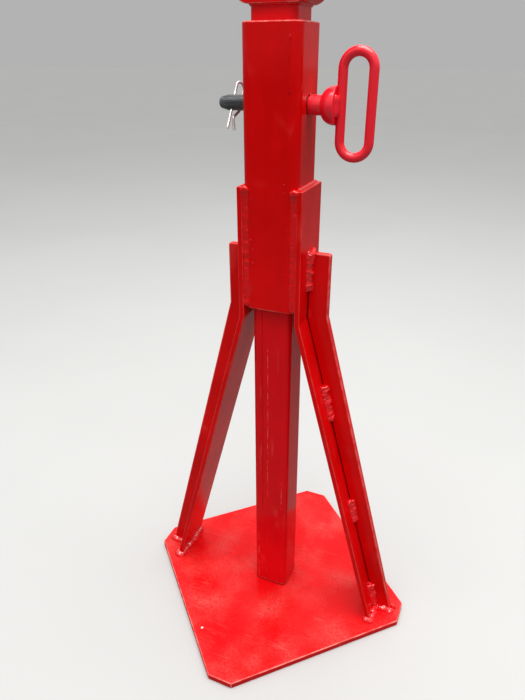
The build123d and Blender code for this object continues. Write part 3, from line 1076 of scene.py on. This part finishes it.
class FinishPin(bpy.types.Operator):
    """Finish the locking pin, its head and its loop handle"""

    bl_idname = "jack_stand.pin"
    bl_label = "Locking pin"

    def execute(self, context):
        stand = context.scene.jack_stand
        paint = enamel("handle enamel", stand.paint, **HANDLE)
        paint_node("pin_shank", black_oxide(stand.pin))
        paint_node("pin_head", paint)
        paint_node("pin_loop", paint)
        return {"FINISHED"}


class FinishClip(bpy.types.Operator):
    """Finish the hairpin clip"""

    bl_idname = "jack_stand.clip"
    bl_label = "Hairpin clip"

    def execute(self, context):
        paint_node("hairpin_clip", zinc_wire(context.scene.jack_stand.pin))
        return {"FINISHED"}


class BuildStage(bpy.types.Operator):
    """Make the floor, the soft light and the camera"""

    bl_idname = "jack_stand.stage"
    bl_label = "Stage"

    def execute(self, context):
        stage = context.scene.jack_stand.stage
        half = stage.floor_size / 2
        mesh = bpy.data.meshes.new("floor")
        mesh.from_pydata(
            [(-half, -half, 0), (half, -half, 0), (half, half, 0), (-half, half, 0)], [], [(0, 1, 2, 3)]
        )
        mesh.materials.append(studio_floor(stage))
        link("floor", mesh)

        world = bpy.data.worlds.new("soft room")
        world.use_nodes = True
        tree = world.node_tree
        tree.nodes.clear()
        way = place(tree, "ShaderNodeTexCoord").outputs["Generated"]
        up = place(tree, "ShaderNodeSeparateXYZ", {0: way}).outputs["Z"]
        rise = place(
            tree, "ShaderNodeMapRange",
            {"Value": up, "From Min": 0.0, "From Max": 1.0, "To Min": stage.level, "To Max": stage.overhead},
        ).outputs["Result"]
        seen = place(tree, "ShaderNodeLightPath").outputs["Is Camera Ray"]
        strength = output_of(tree, "ShaderNodeMix", {0: seen, 2: rise, 3: stage.horizon})
        sky = place(tree, "ShaderNodeBackground", {"Color": (1.0, 1.0, 1.0, 1.0), "Strength": strength})
        place(tree, "ShaderNodeOutputWorld", {"Surface": sky.outputs[0]})
        context.scene.world = world

        lamp = bpy.data.lights.new("soft lamp", "AREA")
        lamp.energy = stage.lamp_power
        lamp.size = stage.lamp_size
        hung = bpy.data.objects.new("soft lamp", lamp)
        context.scene.collection.objects.link(hung)
        hung.location = stage.lamp_place
        aim = Vector((0.0, 0.0, 0.35)) - Vector(stage.lamp_place)
        hung.rotation_mode = "QUATERNION"
        hung.rotation_quaternion = aim.to_track_quat("-Z", "Y")

        camera = bpy.data.cameras.new("camera")
        camera.lens = stage.lens
        camera.sensor_width = 36.0
        camera.clip_start = 0.01
        viewer = bpy.data.objects.new("camera", camera)
        context.scene.collection.objects.link(viewer)
        context.scene.camera = viewer
        turn = Matrix.Rotation(stage.yaw, 4, "Z") @ Matrix.Rotation(pi / 2 - stage.pitch, 4, "X")
        turn = turn @ Matrix.Rotation(stage.roll, 4, "Z")
        viewer.matrix_world = Matrix.Translation(Vector(stage.eye)) @ turn
        context.scene.view_settings.view_transform = "Standard"
        return {"FINISHED"}


class JackStandPanel(bpy.types.Panel):
    """Lists the stand's pieces"""

    bl_idname = "VIEW3D_PT_jack_stand"
    bl_label = "Axle jack stand"
    bl_space_type = "VIEW_3D"
    bl_region_type = "UI"
    bl_category = "Jack stand"

    def draw(self, context):
        for step in STEPS:
            self.layout.operator(step.bl_idname, text=step.bl_label)


SETTINGS = (
    SteelSettings, WeldSettings, PaintSettings, PinSettings, StageSettings, JackStandSettings
)
STEPS = (
    BuildBasePlate, BuildTubes, BuildLegs, BuildSaddle, BuildWelds, BuildPaintRuns, BuildSpatter,
    FinishPin, FinishClip, BuildStage,
)
CLASSES = (*SETTINGS, *STEPS, JackStandPanel)


def register():
    for kind in CLASSES:
        bpy.utils.register_class(kind)
    bpy.types.Scene.jack_stand = PointerProperty(
        type=JackStandSettings, name="Jack stand", description="Sizes and colours of the jack stand"
    )


def unregister():
    del bpy.types.Scene.jack_stand
    for kind in reversed(CLASSES):
        bpy.utils.unregister_class(kind)


def main():
    register()
    for step in STEPS:
        group, action = step.bl_idname.split(".")
        getattr(getattr(bpy.ops, group), action)()


if __name__ == "__main__":
    main()
